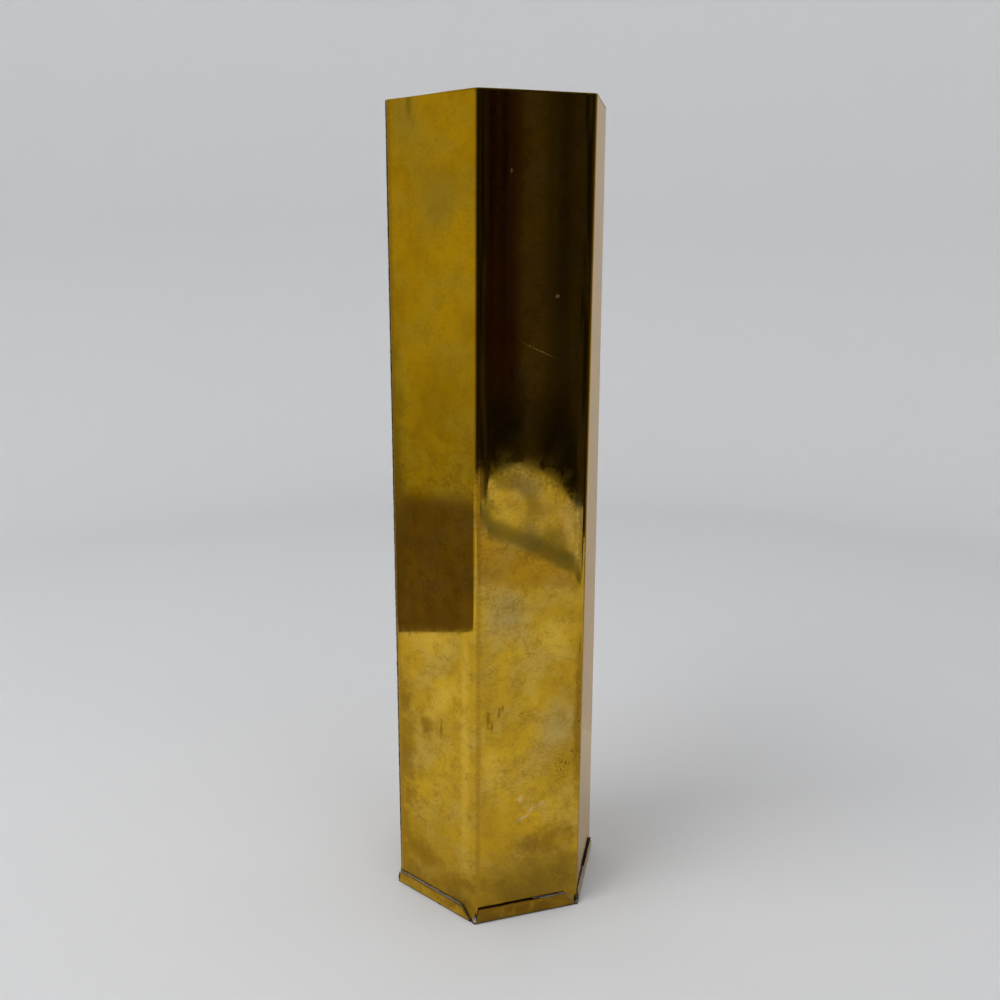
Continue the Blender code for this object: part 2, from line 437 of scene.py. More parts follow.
def seam_bead(name, side, towards_corner):
    """The solder down one lap seam, between the rear sheet's edge and the front sheet's bend."""
    degrees = SIDES[side]
    edge = MIDDLE * TAN_30 - EDGE_SETBACK
    place = outward(degrees) * (OUTER - 0.00075) + rightward(degrees) * towards_corner * (edge + 0.00065)
    start = place + Vector((0, 0, 0.0125))
    end = place + Vector((0, 0, rim_height(place) - 0.0004))
    piece = bead(
        name,
        start,
        end,
        across=rightward(degrees),
        rise=outward(degrees),
        half_across=0.00075,
        half_rise=0.00055,
        rings=180,
        rough=0.2,
    )
    for vert in piece.data.vertices:
        vert.co = twisted(vert.co)
    return piece


def tab_bead(name):
    """The solder along one tab's top, where the CAD has it, let down into the angle with the tube."""
    low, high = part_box(f"tab_solder_{name}")
    degrees = SIDES[name]
    middle = (low + high) / 2
    half_length = abs((high - low).to_2d().dot(Vector([abs(x) for x in rightward(degrees).xy]))) / 2
    out = outward(degrees)
    along = rightward(degrees)
    line = out * (OUTER + 0.0004) + along * middle.dot(along)
    line.z = low.z - 0.0002
    start = line - along * half_length
    end = line + along * half_length
    return bead(
        f"{name}_tab_bead",
        start,
        end,
        across=out,
        rise=Vector((0, 0, 1)),
        half_across=0.00033,
        half_rise=0.00032,
        rings=60,
        rough=0.25,
    )


def corner_drop(name):
    """The lump of solder that closes the tray at one corner."""
    direction = CORNERS[name]
    low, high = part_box(f"corner_solder_{name}")
    middle = (low + high) / 2
    bm = bmesh.new()
    bmesh.ops.create_icosphere(bm, subdivisions=4, radius=1.0)
    turn = Matrix.Rotation(math.radians(direction), 3, "Z")
    for vert in bm.verts:
        shape = vert.co.copy()
        narrow = 1.0 - 0.55 * max(0.0, shape.z)
        size = Vector((shape.x * DROP_OUT * narrow, shape.y * DROP_ALONG * narrow, shape.z * DROP_UP))
        lump = 1 + 0.22 * noise.noise(shape * 1.9 + Vector((direction, 0, 0)))
        vert.co = turn @ (size * lump)
        vert.co += middle - outward(direction) * DROP_IN - Vector((0, 0, DROP_DOWN))
    return new_piece(f"{name}_corner_drop", bm)


# ---------------------------------------------------------------- materials


class Shade:
    """A material's nodes, added and joined with short calls."""

    def __init__(self, name):
        self.material = bpy.data.materials.new(name)
        self.material.use_nodes = True
        self.tree = self.material.node_tree
        self.shader = self.tree.nodes["Principled BSDF"]
        self.place = self.node("ShaderNodeTexCoord").outputs["Object"]

    def node(self, kind, **settings):
        made = self.tree.nodes.new(kind)
        for key, value in settings.items():
            setattr(made, key, value)
        return made

    def feed(self, socket, value):
        if isinstance(value, bpy.types.NodeSocket):
            self.tree.links.new(value, socket)
        else:
            socket.default_value = value

    def math(self, operation, first, second=0.0, clamp=False):
        made = self.node("ShaderNodeMath", operation=operation, use_clamp=clamp)
        self.feed(made.inputs[0], first)
        self.feed(made.inputs[1], second)
        return made.outputs[0]

    def flat_sheet(self):
        """Places on the sheet before it was folded, in metres."""
        return self.node("ShaderNodeUVMap", uv_map="flat_sheet").outputs["UV"]

    def kept(self, name):
        """A value that each of the mesh's points keeps."""
        return self.node("ShaderNodeAttribute", attribute_name=name).outputs["Fac"]

    def stretched(self, vector, scale, shift=(0.0, 0.0, 0.0)):
        made = self.node("ShaderNodeMapping")
        self.feed(made.inputs["Vector"], vector)
        made.inputs["Scale"].default_value = scale
        made.inputs["Location"].default_value = shift
        return made.outputs[0]

    def noise(self, scale, detail=4.0, roughness=0.55, vector=None, distortion=0.0):
        made = self.node("ShaderNodeTexNoise")
        self.feed(made.inputs["Vector"], vector or self.place)
        made.inputs["Scale"].default_value = scale
        made.inputs["Detail"].default_value = detail
        made.inputs["Roughness"].default_value = roughness
        made.inputs["Distortion"].default_value = distortion
        return made.outputs["Fac"]

    def spots(self, scale, vector):
        made = self.node("ShaderNodeTexVoronoi")
        self.feed(made.inputs["Vector"], vector)
        made.inputs["Scale"].default_value = scale
        return made.outputs["Distance"]

    def between(self, value, low, high, to_low=0.0, to_high=1.0):
        """value from low..high to 0..1 or another range, held at the ends, with smooth shoulders."""
        made = self.node("ShaderNodeMapRange", interpolation_type="SMOOTHSTEP")
        self.feed(made.inputs["Value"], value)
        for key, number in zip(("From Min", "From Max", "To Min", "To Max"), (low, high, to_low, to_high)):
            made.inputs[key].default_value = number
        return made.outputs["Result"]

    def mix(self, factor, first, second):
        made = self.node("ShaderNodeMix", data_type="RGBA")
        self.feed(made.inputs["Factor"], factor)
        self.feed(made.inputs["A"], first if isinstance(first, bpy.types.NodeSocket) else (*first, 1.0))
        self.feed(made.inputs["B"], second if isinstance(second, bpy.types.NodeSocket) else (*second, 1.0))
        return made.outputs["Result"]

    def mark(self, vector, place, reach, turn, ragged, scale):
        """A ragged-edged patch on the sheet: 1 at its middle, 0 outside its reach across and up."""
        local = self.node("ShaderNodeMapping", vector_type="TEXTURE")
        self.feed(local.inputs["Vector"], vector)
        local.inputs["Location"].default_value = (*place, 0.0)
        local.inputs["Rotation"].default_value = (0.0, 0.0, math.radians(turn))
        local.inputs["Scale"].default_value = (*reach, 1.0)
        length = self.node("ShaderNodeVectorMath", operation="LENGTH")
        self.feed(length.inputs[0], local.outputs[0])
        uneven = self.math("SUBTRACT", self.noise(scale, 5.0, 0.65, vector), 0.5)
        edge = self.math("ADD", length.outputs["Value"], self.times(uneven, 2 * ragged))
        return self.between(edge, 0.1, 1.0, 1.0, 0.0)

    def marks(self, vector, places, ragged=0.5, scale=60.0):
        """The strongest of several marks at each point."""
        total = 0.0
        for place, reach, turn in places:
            total = self.math("MAXIMUM", self.mark(vector, place, reach, turn, ragged, scale), total)
        return total

    def times(self, first, second):
        return self.math("MULTIPLY", first, second)

    def part(self, axis):
        made = self.node("ShaderNodeSeparateXYZ")
        self.feed(made.inputs[0], self.place)
        return made.outputs[axis]

    def bump(self, height, distance, under=None):
        made = self.node("ShaderNodeBump")
        self.feed(made.inputs["Height"], height)
        made.inputs["Distance"].default_value = distance
        if under is not None:
            self.feed(made.inputs["Normal"], under)
        return made.outputs["Normal"]

    def finish(self, color, roughness, normal, metallic=1.0):
        self.feed(self.shader.inputs["Base Color"], color)
        self.feed(self.shader.inputs["Roughness"], roughness)
        self.feed(self.shader.inputs["Normal"], normal)
        self.feed(self.shader.inputs["Metallic"], metallic)
        return self.material


BRIGHT_BRASS = (0.74, 0.450, 0.026)
RUBBED_BRASS_AND_SHEEN = (0.82, 0.520, 0.060)
PALE_BRASS = (0.65, 0.430, 0.080)
DEEP_BRASS = (0.60, 0.350, 0.020)
MOTTLE = (0.44, 0.250, 0.022)
BROWN_STAIN = (0.31, 0.165, 0.012)
OLIVE_STAIN = (0.34, 0.225, 0.035)
# soot stain, and painted shade near the foot
SMOKY_STAIN_AND_SHADE = (0.25, 0.150, 0.020)
GREY_HAZE = (0.53, 0.390, 0.135)
# browned by the torch, and painted shade near the foot
TORCHED_AND_SHADED_BRASS = (0.38, 0.215, 0.010)
SCRATCHED_BRASS = (0.78, 0.68, 0.42)
PIT_BROWN = (0.095, 0.054, 0.014)
INSIDE_PALE = (0.50, 0.330, 0.090)
INSIDE_DARK = (0.34, 0.205, 0.055)
INSIDE_RUN = (0.24, 0.135, 0.040)
TRAY_BRIGHT = (0.62, 0.380, 0.030)
TRAY_DEEP = (0.42, 0.240, 0.022)
TRAY_SPECKLE = (0.26, 0.150, 0.020)
# torch browning, and painted shade on the front tab
TRAY_SMOKE_AND_SHADE = (0.20, 0.105, 0.010)
TRAY_STAIN = (0.36, 0.16, 0.012)
# dark grime, and painted shade in gaps and at the foot
GRIME_AND_SHADE = (0.045, 0.026, 0.010)
GRAZING_TINT = (0.92, 0.80, 0.58, 1.0)  # sheet brass at a glancing angle
TIN = (0.52, 0.50, 0.45)
SCRAPED_SOLDER = (0.72, 0.70, 0.66)

# Solders: how dark and how pale each is, and how far its scrapes show
SOLDERS = {
    "soft_solder": ((0.22, 0.200, 0.170), (0.48, 0.45, 0.40), 1.0),
    "dark_solder": ((0.060, 0.050, 0.040), (0.20, 0.18, 0.15), 0.5),
    "stained_solder": ((0.12, 0.075, 0.030), (0.36, 0.27, 0.13), 0.25),
}

# Marks on the flat front sheet: where each is, across from the near fold and up, how far it reaches across
# and up, both in metres, and its turn in degrees
HAZES = [
    ((-0.056, 0.532), (0.022, 0.018), 0),
    ((-0.032, 0.480), (0.022, 0.034), 0),
    ((0.020, 0.225), (0.022, 0.030), 20),
    ((0.058, 0.142), (0.020, 0.034), -15),
]
# Patches of worn polish; the first, a strip beside the near fold, is also a painted highlight along the bend
RUBBED_AND_SHEEN = [
    ((-0.009, 0.110), (0.006, 0.170), 0),
    ((-0.040, 0.200), (0.034, 0.016), 15),
    ((-0.034, 0.155), (0.010, 0.040), -40),
    ((0.055, 0.205), (0.016, 0.022), 0),
    ((0.012, 0.120), (0.010, 0.026), 0),
]
OLIVES = [
    ((-0.054, 0.541), (0.0040, 0.0120), 0),
    ((-0.072, 0.320), (0.014, 0.150), 0),
]
VEINED = [
    ((-0.060, 0.150), (0.020, 0.040), 0),
    ((-0.062, 0.060), (0.022, 0.060), 0),
    ((0.020, 0.176), (0.026, 0.012), 15),
    ((0.060, 0.100), (0.022, 0.020), -20),
    ((0.030, 0.118), (0.034, 0.010), 5),
]
# Sooty stains near the foot, partly painted shade of the shadowed floor that the sheet reflects
SMOKES_AND_SHADE = [
    ((0.042, 0.016), (0.064, 0.048), 0),
    ((0.062, 0.026), (0.030, 0.030), 0),
    ((-0.014, 0.010), (0.026, 0.018), 0),
]
BROWNS = [
    ((-0.012, 0.026), (0.034, 0.011), 10),
    ((-0.050, 0.034), (0.034, 0.012), -12),
    ((-0.070, 0.148), (0.013, 0.026), 0),
    ((-0.062, 0.012), (0.040, 0.016), 0),
    ((-0.068, 0.105), (0.018, 0.055), 0),
    ((-0.073, 0.045), (0.014, 0.055), 0),
    ((-0.045, 0.134), (0.008, 0.014), 0),
    ((0.050, 0.055), (0.034, 0.016), 10),
    ((0.073, 0.140), (0.0050, 0.0900), 0),
]
DRIPS = [
    ((0.0085, 0.1520), (0.0024, 0.0110), 0),
    ((0.0108, 0.1465), (0.0018, 0.0070), 4),
    ((0.0160, 0.1560), (0.0016, 0.0060), -3),
    ((0.0185, 0.1590), (0.0014, 0.0045), 0),
    ((-0.0440, 0.1330), (0.0026, 0.0090), 5),
    ((-0.0310, 0.1370), (0.0016, 0.0110), -2),
    ((0.0725, 0.1500), (0.0016, 0.0300), 0),
    ((0.0730, 0.1950), (0.0012, 0.0120), 0),
]
PITTED = [
    ((0.064, 0.112), (0.020, 0.036), -30),
    ((0.073, 0.165), (0.005, 0.050), 0),
    ((0.034, 0.152), (0.008, 0.012), 0),
]
SCRATCHES = [
    ((0.0400, 0.0810), (0.0055, 0.0016), 35),
    ((0.0335, 0.0755), (0.0080, 0.0015), 22),
    ((0.0470, 0.0840), (0.0040, 0.0012), 40),
    ((0.0315, 0.0900), (0.0026, 0.0034), -20),
    ((0.0390, 0.3950), (0.0170, 0.0006), -25),
    ((0.0520, 0.4270), (0.0022, 0.0016), 10),
    ((0.0210, 0.5000), (0.0012, 0.0022), 0),
]


class AgedSheet(Shade):
    """The body's polished brass as it has aged, from the broad patina down to its pits and scratches.

    Its methods build on each other, in the order in which aged_brass calls them.
    """

    def __init__(self, name):
        super().__init__(name)
        self.sheet = self.flat_sheet()
        self.height = self.part("Z")
        self.from_fold = self.kept("from_fold")
        self.tab_below = self.kept("tab_below")
        self.above_tab = self.math("SUBTRACT", self.height, self.tab_below)
        self.low_down = self.between(self.height, 0.200, 0.290, 1.0, 0.0)
        self.high_up = self.between(self.height, 0.280, 0.400)
        shifted = self.stretched(self.sheet, (1.0, 1.0, 1.0), (3.0, 7.0, 0.0))
        self.drift = self.noise(34.0, 4.0, 0.55, shifted, 0.4)
        self.cloud = self.noise(85.0, 6.0, 0.66, self.sheet, 0.15)
        self.speckle = self.noise(460.0, 4.0, 0.65, self.sheet)
        self.streak = self.noise(1.0, 4.0, 0.6, self.stretched(self.sheet, (620.0, 9.0, 1.0)))

    def patina(self):
        """Bright, deep and pale brass, hazed and worn bright in patches, one also a painted highlight, and
        mottled all over.
        """
        broad = self.noise(19.0, 3.0, 0.5, self.sheet)
        color = self.mix(self.between(broad, 0.36, 0.64), BRIGHT_BRASS, DEEP_BRASS)
        color = self.mix(self.between(self.drift, 0.42, 0.66, 0.0, 0.8), color, PALE_BRASS)
        self.haze = self.marks(self.sheet, HAZES, 0.6, 40.0)
        color = self.mix(self.times(self.haze, 0.7), color, GREY_HAZE)
        # worn bright patches, and beside the near fold a painted highlight
        rubbed_and_sheen = self.marks(self.sheet, RUBBED_AND_SHEEN, 0.7, 45.0)
        color = self.mix(self.times(rubbed_and_sheen, 0.75), color, RUBBED_BRASS_AND_SHEEN)
        mottle = self.math("ADD", self.times(self.cloud, 0.60), self.times(self.speckle, 0.40))
        mottle = self.math("SUBTRACT", mottle, self.times(rubbed_and_sheen, 0.035))
        veined = self.times(self.marks(self.sheet, VEINED, 0.8), 0.045)
        self.mottle = self.math("ADD", mottle, veined)
        strength = self.between(self.high_up, 0.0, 1.0, 0.85, 0.45)
        return self.mix(self.times(self.between(self.mottle, 0.43, 0.66), strength), color, MOTTLE)

    def tide_lines(self, color):
        """The wandering edges that dried water left on the lower part."""
        tide = self.noise(1.0, 3.0, 0.5, self.stretched(self.sheet, (24.0, 70.0, 1.0)), 1.2)
        from_edge = self.math("ABSOLUTE", self.math("SUBTRACT", tide, 0.5))
        edge = self.between(from_edge, 0.0, 0.016, 1.0, 0.0)
        line = self.times(edge, self.between(self.drift, 0.44, 0.56, 0.0, 0.75))
        return self.mix(self.times(line, self.low_down), color, MOTTLE)

    def stains(self, color):
        """Olive, brown and sooty stains, drips, and a foot browned by the torch.

        The sooty stains and the browned foot are partly painted shade of the shadowed floor that they
        reflect.
        """
        self.olive = self.times(self.marks(self.sheet, OLIVES, 0.7), 0.7)
        color = self.mix(self.olive, color, OLIVE_STAIN)
        browns = self.times(self.marks(self.sheet, BROWNS, 0.9, 120.0), 0.8)
        # the foot just above each tab: brown stain, and painted shade of the shadowed floor it reflects
        foot = self.between(self.above_tab, 0.0, 0.026, 1.0, 0.0)
        foot = self.times(foot, self.between(self.cloud, 0.3, 0.7, 0.2, 0.8))
        drips = self.times(self.marks(self.sheet, DRIPS, 1.1, 380.0), 0.9)
        self.browned = self.math("MAXIMUM", self.math("MAXIMUM", browns, foot), drips)
        color = self.mix(self.browned, color, BROWN_STAIN)
        # sooty stains low on the sheet, partly painted shade of the shadowed floor that they reflect
        self.smoke_and_shade = self.times(self.marks(self.sheet, SMOKES_AND_SHADE, 0.5), 0.95)
        color = self.mix(self.smoke_and_shade, color, SMOKY_STAIN_AND_SHADE)
        # the lowest 80 mm above each tab: torch browning, and painted shade of the shadowed floor that the
        # sheet reflects
        return self.mix(self.between(self.above_tab, 0.0, 0.080, 0.30, 0.0), color, TORCHED_AND_SHADED_BRASS)

    def fold_and_rim(self, color):
        """A darker line down the right of each fold, which is painted reflection, and a dull rim."""
        # painted reflection: the dark line that each fold shows just to its right
        past_fold = self.times(self.from_fold, self.kept("fold_side"))
        line = self.between(past_fold, -0.0004, 0.0006)
        line = self.times(line, self.between(past_fold, 0.0020, 0.0042, 1.0, 0.0))
        line = self.times(line, self.between(self.from_fold, 0.006, 0.008, 1.0, 0.0))
        line = self.times(line, self.between(self.speckle, 0.3, 0.6, 0.35, 0.8))
        color = self.mix(line, color, MOTTLE)
        self.rim = self.between(self.height, TOP - 0.0018, TOP - 0.0006)
        return self.mix(self.times(self.rim, 0.55), color, OLIVE_STAIN)

    def damage(self, color):
        """Pits with brown round them, the dark joint line above each tab, and light scratches.

        The joint line is grime and painted shade in the gap between the tab and the tube.
        """
        scattered = self.between(self.noise(22.0, 2.0, 0.5, self.sheet), 0.64, 0.72, 0.0, 0.6)
        pitted = self.math("MAXIMUM", self.marks(self.sheet, PITTED), scattered)
        pitted = self.times(pitted, self.low_down)
        spots = self.spots(560.0, self.stretched(self.sheet, (1.0, 0.8, 1.0)))
        ragged = self.times(self.math("SUBTRACT", self.speckle, 0.5), 1.3)
        fewer = self.times(self.math("SUBTRACT", 1.0, pitted), 0.45)
        pits = self.math("ADD", self.math("ADD", spots, ragged), fewer)
        pits = self.between(pits, 0.42, 0.18)
        gaps = self.between(self.noise(240.0, 2.0, 0.5, self.sheet), 0.44, 0.54, 0.15, 1.0)
        self.pits = self.times(pits, gaps)
        color = self.mix(self.times(pitted, 0.22), color, BROWN_STAIN)
        color = self.mix(self.times(self.pits, 0.8), color, PIT_BROWN)
        # the joint line: grime, and painted shade in the gap between the tab and the tube
        has_tab = self.between(self.tab_below, 0.001, 0.004)
        self.joint_line = self.times(self.between(self.above_tab, 0.0003, 0.0008, 0.85, 0.0), has_tab)
        color = self.mix(self.joint_line, color, GRIME_AND_SHADE)
        self.scratched = self.times(self.marks(self.sheet, SCRATCHES, 0.6, 420.0), 0.42)
        return self.mix(self.scratched, color, SCRATCHED_BRASS)

    def gloss(self):
        """Roughness: the stains, the rim, the scratches and the pits are duller than the polish."""
        fine_streaks = self.times(self.between(self.streak, 0.5, 0.8, 0.0, 0.03), self.high_up)
        rough = self.between(self.mottle, 0.40, 0.62, 0.028, 0.080)
        rough = self.math("ADD", rough, self.times(self.math("ADD", self.olive, self.smoke_and_shade), 0.22))
        rough = self.math("ADD", rough, self.times(self.haze, 0.12))
        rough = self.math("ADD", rough, fine_streaks)
        rough = self.math("ADD", rough, self.times(self.browned, 0.10))
        rough = self.math("ADD", rough, self.times(self.math("ADD", self.rim, self.scratched), 0.25))
        dirty = self.times(self.math("MAXIMUM", self.pits, self.joint_line), 0.4)
        return self.math("ADD", rough, dirty, clamp=True)

    def relief(self):
        normal = self.bump(self.times(self.streak, self.high_up), 0.0000009)
        normal = self.bump(self.speckle, 0.0000007, under=normal)
        return self.bump(self.times(self.pits, -1.0), 0.00005, under=normal)


def aged_brass():
    s = AgedSheet("aged_brass")
    color = s.tide_lines(s.patina())
    color = s.fold_and_rim(s.stains(color))
    color = s.damage(color)
    metallic = s.math("SUBTRACT", 1.0, s.times(s.scratched, 0.3))
    s.shader.inputs["Specular Tint"].default_value = GRAZING_TINT
    return s.finish(color, s.gloss(), s.relief(), metallic=metallic)


def dull_brass():
    """The unpolished inside: brass gone brown and matt, cloudy, with run marks."""
    s = Shade("dull_brass")
    cloud = s.noise(45.0, 6.0, 0.65)
    run = s.noise(1.0, 5.0, 0.6, s.stretched(s.place, (160.0, 160.0, 6.0)))
    color = s.mix(s.between(cloud, 0.35, 0.65), INSIDE_PALE, INSIDE_DARK)
    color = s.mix(s.between(run, 0.45, 0.70, 0.0, 0.6), color, INSIDE_RUN)
    rough = s.math("ADD", s.between(cloud, 0.3, 0.7, 0.32, 0.48), s.between(run, 0.4, 0.7, 0.0, 0.1))
    return s.finish(color, rough, s.bump(run, 0.00001), metallic=0.45)


def tray_brass():
    """The tray's duller brass, browned by the torch, with a tinned upper edge and grimy cuts and foot.

    The front tab's deeper browning, and the dark at the cuts and at the foot, are partly painted shade.
    """
    s = Shade("tray_brass")
    cloud = s.noise(110.0, 5.0, 0.62, distortion=0.4)
    speckle = s.noise(700.0, 3.0, 0.65)
    uneven = s.math("SUBTRACT", cloud, 0.5)
    from_cut = s.math("ADD", s.kept("from_cut"), s.times(uneven, 0.0007))
    tinned = s.between(s.math("ADD", s.kept("tinned"), uneven), 0.3, 0.6)
    smoky_and_shaded = s.math("ADD", s.kept("smoky_and_shaded"), s.times(uneven, 1.4))
    smeared = s.times(s.kept("smeared"), s.between(cloud, 0.35, 0.6, 0.4, 1.0))

    color = s.mix(s.between(cloud, 0.38, 0.62), TRAY_BRIGHT, TRAY_DEEP)
    color = s.mix(s.between(speckle, 0.50, 0.72, 0.0, 0.8), color, TRAY_SPECKLE)
    # torch browning; the front tab's strong darkening is also painted shade of the shadowed floor it reflects
    color = s.mix(s.between(smoky_and_shaded, 0.1, 1.0, 0.0, 0.9), color, TRAY_SMOKE_AND_SHADE)
    color = s.mix(s.between(from_cut, 0.0008, 0.0034, 0.60, 0.0), color, TRAY_STAIN)
    color = s.mix(smeared, color, TIN)
    # dark lines at the cut edge: grime, and painted shade where the tab's top meets the tube
    from_line = s.math("ABSOLUTE", s.math("SUBTRACT", from_cut, 0.00065))
    dark_line = s.between(from_line, 0.0001, 0.0005, 0.9, 0.0)
    color = s.mix(s.times(dark_line, s.between(tinned, 0.0, 1.0, 0.5, 1.0)), color, GRIME_AND_SHADE)
    edge = s.between(from_cut, 0.00018, 0.00036, 1.0, 0.0)
    color = s.mix(edge, color, GRIME_AND_SHADE)
    color = s.mix(s.times(edge, tinned), color, TIN)
    # the foot: grime, and painted contact shadow along the floor
    foot = s.between(s.part("Z"), 0.0006, 0.0017, 0.9, 0.0)
    color = s.mix(foot, color, GRIME_AND_SHADE)

    rough = s.between(cloud, 0.4, 0.65, 0.08, 0.20)
    rough = s.math("ADD", rough, s.times(s.math("ADD", edge, smeared), 0.2))
    rough = s.math("ADD", rough, s.times(foot, 0.3), clamp=True)
    s.shader.inputs["Specular Tint"].default_value = GRAZING_TINT
    return s.finish(color, rough, s.bump(speckle, 0.000002))


def soft_solder(name, dark, pale, scraped_share):
    """Dull tin-lead solder: lumpy, scraped bright in places and darkened in its hollows."""
    s = Shade(name)
    mottle = s.noise(300.0, 5.0, 0.6)
    scraped = s.times(s.between(s.noise(700.0, 4.0, 0.6), 0.50, 0.66), scraped_share)
    color = s.mix(s.between(mottle, 0.4, 0.65), dark, pale)
    color = s.mix(scraped, color, SCRAPED_SOLDER)
    rough = s.between(mottle, 0.35, 0.65, 0.5, 0.3)
    return s.finish(color, rough, s.bump(mottle, 0.00005))


# ---------------------------------------------------------------- studio


FLOOR_TONE = (0.78, 0.78, 0.78)
BOARD_TONE = (0.755, 0.755, 0.755)
FLOOR_DROP = 0.0002  # the room's floor lies this far under the board that the brass reflects
BOARD_LEFT = -0.577
BOARD_RIGHT = 1.0
BOARD_BACK = 0.215
BOARD_CUT = 0.7725  # how far the board reaches towards the front and right
BOARD_CUT_TURN = 29.0
ROOM_RADIUS = 1.6
ROOM_FILLET = 0.5
ROOM_HEIGHT = 2.6
WALL_LEFT = -0.45
WALL_RIGHT = 0.48
WALL_HEIGHT = 1.2
WALL_TONE = (0.96, 0.93, 0.92, 1.0)
WALL_GLOW = 0.48
DOME_RADIUS = 3.0
TWIST_LEAN = 1.65  # degrees of turn per metre up the dome: what the twisted front side shows as upright

# Tones painted on the dome
SHADOW_DARK = (0.008, 0.007, 0.010)
SHADOW_PALE = (0.030, 0.026, 0.026)
CURTAIN_DARK = (0.006, 0.003, 0.006)
CURTAIN_PALE = (0.030, 0.014, 0.012)
PLEAT_DARK = (0.014, 0.012, 0.018)
PLEAT_PALE = (0.036, 0.030, 0.028)
STRIP_TONE = (0.047, 0.038, 0.034)
RIGHT_TONE = (0.115, 0.090, 0.070)
LEFT_FLOOR_TONE = (0.136, 0.107, 0.080)
LEFT_WALL_LOW = (0.330, 0.305, 0.085)
LEFT_WALL_HIGH = (0.425, 0.385, 0.095)
FOLD_TONE = (0.42, 0.38, 0.30)
CLOTH_DARK = (0.29, 0.30, 0.36)
CLOTH_PALE = (0.60, 0.60, 0.75)
CLOTH_SHADOW = (0.10, 0.11, 0.13)
BELOW_CLOTH = (0.44, 0.39, 0.35)
CEILING_TONE = (0.85, 0.87, 0.90)


def turned(x, y, z):
    """A point given as seen from the camera's side: x to its right, y away from it."""
    return Matrix.Rotation(math.radians(VIEW_TURN), 3, "Z") @ Vector((x, y, z))


def stage_mesh(name, bm, material, seen_by):
    made = new_piece(name, bm)
    made.data.materials.append(material)
    for ray in ("camera", "diffuse", "glossy", "transmission", "shadow"):
        setattr(made, f"visible_{ray}", ray in seen_by)
    return made


def pale_material(name, color):
    s = Shade(name)
    s.shader.inputs["Roughness"].default_value = 0.6
    s.shader.inputs["Specular IOR Level"].default_value = 0.2
    s.feed(s.shader.inputs["Base Color"], (*color, 1.0))
    return s.material


def quad(*corners):
    bm = bmesh.new()
    bm.faces.new([bm.verts.new(corner) for corner in corners])
    return bm


def add_room():
    """The pale floor and backdrop that the camera sees, one turned profile."""
    bm = bmesh.new()
    profile = [Vector((0.0, 0, 0)), Vector((ROOM_RADIUS - ROOM_FILLET, 0, 0))]
    for step in range(1, 17):
        angle = math.radians(90 * step / 16)
        reach = ROOM_RADIUS - ROOM_FILLET + ROOM_FILLET * math.sin(angle)
        profile.append(Vector((reach, 0, ROOM_FILLET - ROOM_FILLET * math.cos(angle))))
    profile.append(Vector((ROOM_RADIUS, 0, ROOM_HEIGHT)))
    verts = [bm.verts.new(point - Vector((0, 0, FLOOR_DROP))) for point in profile]
    edges = [bm.edges.new(pair) for pair in zip(verts, verts[1:])]
    bmesh.ops.spin(
        bm,
        geom=verts + edges,
        cent=(0, 0, 0),
        axis=(0, 0, 1),
        angle=2 * math.pi,
        steps=96,
        use_merge=True,
    )
    bmesh.ops.remove_doubles(bm, verts=bm.verts, dist=1e-5)
    stage_mesh("room", bm, pale_material("room_paint", FLOOR_TONE), ("camera", "diffuse", "shadow"))


def add_board():
    """The pale board under the stand as the brass reflects it: it ends to the left and before the camera."""
    corners = [
        turned(BOARD_LEFT, -1.0, 0),
        turned(BOARD_RIGHT, -1.0, 0),
        turned(BOARD_RIGHT, BOARD_BACK, 0),
        turned(BOARD_LEFT, BOARD_BACK, 0),
    ]
    bm = quad(*corners)
    angle = math.radians(BOARD_CUT_TURN)
    away = turned(math.sin(angle), -math.cos(angle), 0)
    bmesh.ops.bisect_plane(
        bm,
        geom=bm.verts[:] + bm.edges[:] + bm.faces[:],
        plane_co=away * BOARD_CUT,
        plane_no=away,
        clear_outer=True,
    )
    stage_mesh("board", bm, pale_material("board_paint", BOARD_TONE), ("glossy",))


def glow(s, color, strength):
    """Makes a shade that only gives off light."""
    s.feed(s.shader.inputs["Base Color"], (0, 0, 0, 1))
    s.feed(s.shader.inputs["Emission Color"], color)
    s.feed(s.shader.inputs["Emission Strength"], strength)
    s.feed(s.shader.inputs["Specular IOR Level"], 0.0)
    return s.material


def add_wall():
    """An upright card along the board's back that only reflections see."""
    corners = [
        turned(WALL_LEFT, BOARD_BACK, 0.0),
        turned(WALL_RIGHT, BOARD_BACK, 0.0),
        turned(WALL_RIGHT, BOARD_BACK, WALL_HEIGHT),
        turned(WALL_LEFT, BOARD_BACK, WALL_HEIGHT),
    ]
    stage_mesh("wall", quad(*corners), glow(Shade("wall_glow"), WALL_TONE, WALL_GLOW), ("glossy",))


